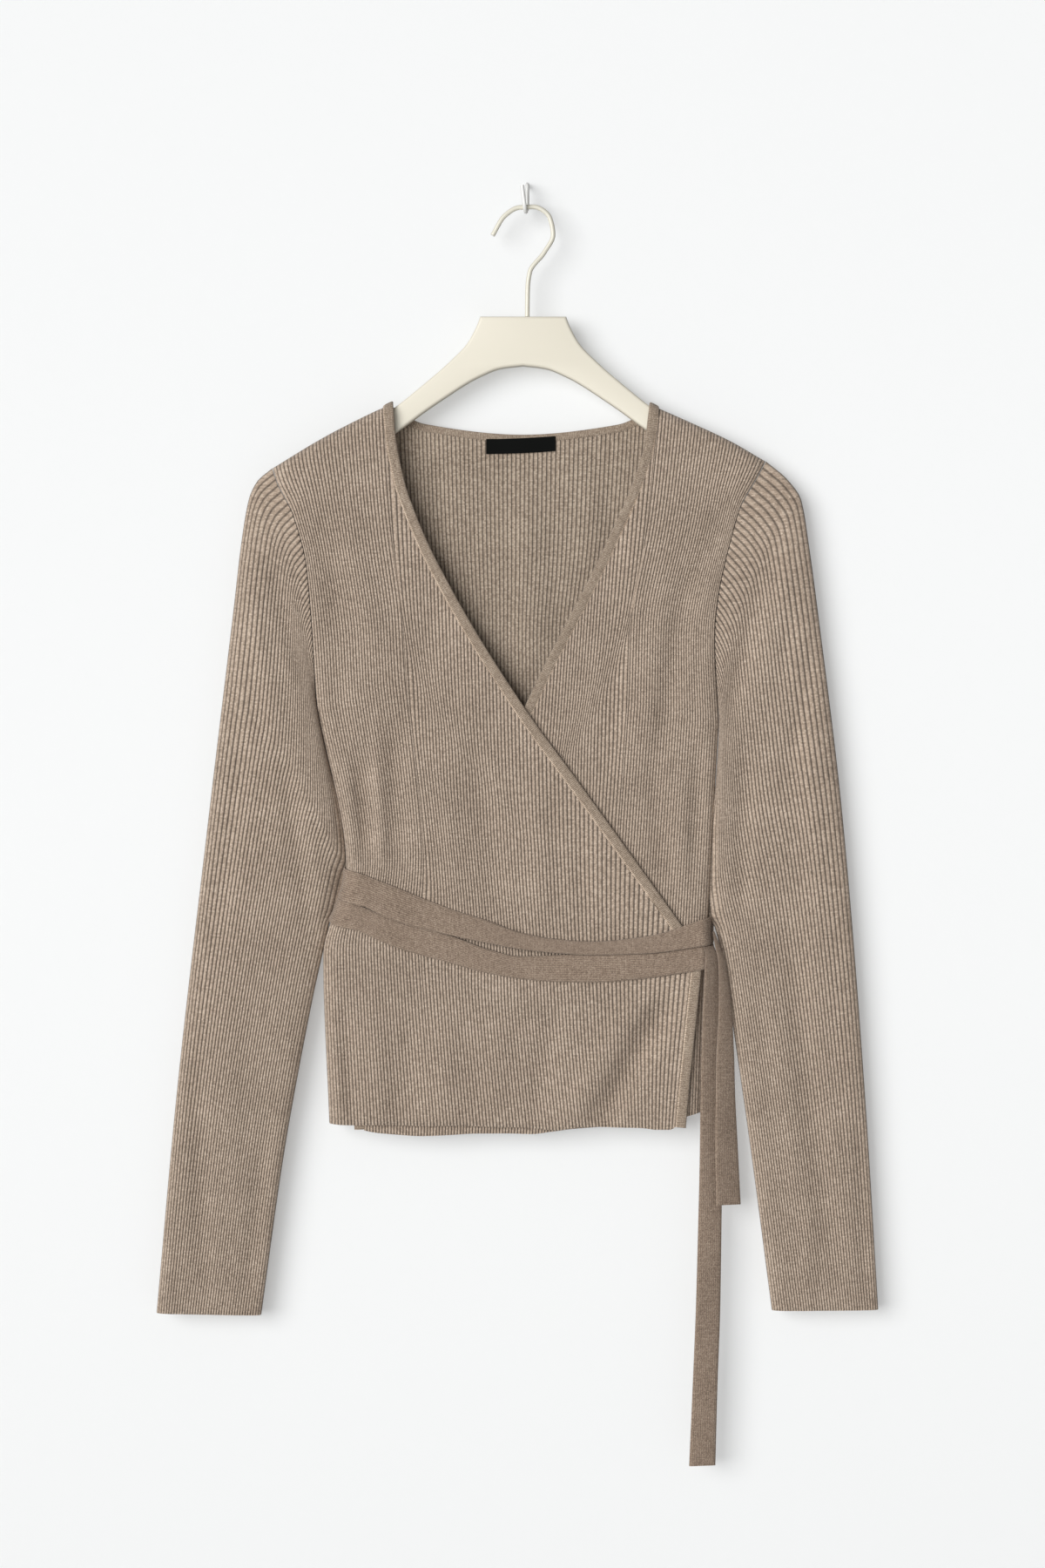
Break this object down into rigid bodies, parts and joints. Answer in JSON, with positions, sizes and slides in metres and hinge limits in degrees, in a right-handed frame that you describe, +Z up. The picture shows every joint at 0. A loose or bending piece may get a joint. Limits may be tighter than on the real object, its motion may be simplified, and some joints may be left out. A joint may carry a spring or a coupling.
{
  "type": "wrap cardigan on a hanger",
  "caption": "Fine ribbed knit wrap cardigan with V neck and waist tie, hanging flat on a shaped hanger from a wall hook.",
  "frame": {"origin": "where the wall hook leaves the wall, which holds the hanger and the garment up", "axes": "+Z up, +Y into the wall, +X to the viewer's right, so the garment's front looks along -Y"},
  "size_m": [0.5307, 0.03, 0.9433],
  "materials": {
    "knit": "matte",
    "band_knit": "matte",
    "tie_knit": "matte",
    "label_cloth": "satin",
    "hanger_plastic": "satin",
    "hook_wire": "gloss",
    "wall_hook_wire": "gloss"
  },
  "bodies": {
    "root": {"right_front": "knit", "left_front": "knit", "back": "knit", "right_sleeve": "knit", "left_sleeve": "knit", "right_front_band": "band_knit", "left_front_band": "band_knit", "back_neck_band": "band_knit", "label": "label_cloth", "tie_upper_front": "tie_knit", "tie_lower_front": "tie_knit", "tie_upper_back": "tie_knit", "tie_lower_back": "tie_knit", "tie_tail_long": "tie_knit", "tie_tail_short": "tie_knit", "hanger_body": "hanger_plastic", "hanger_hook": "hook_wire", "wall_hook": "wall_hook_wire"}
  },
  "joints": []
}
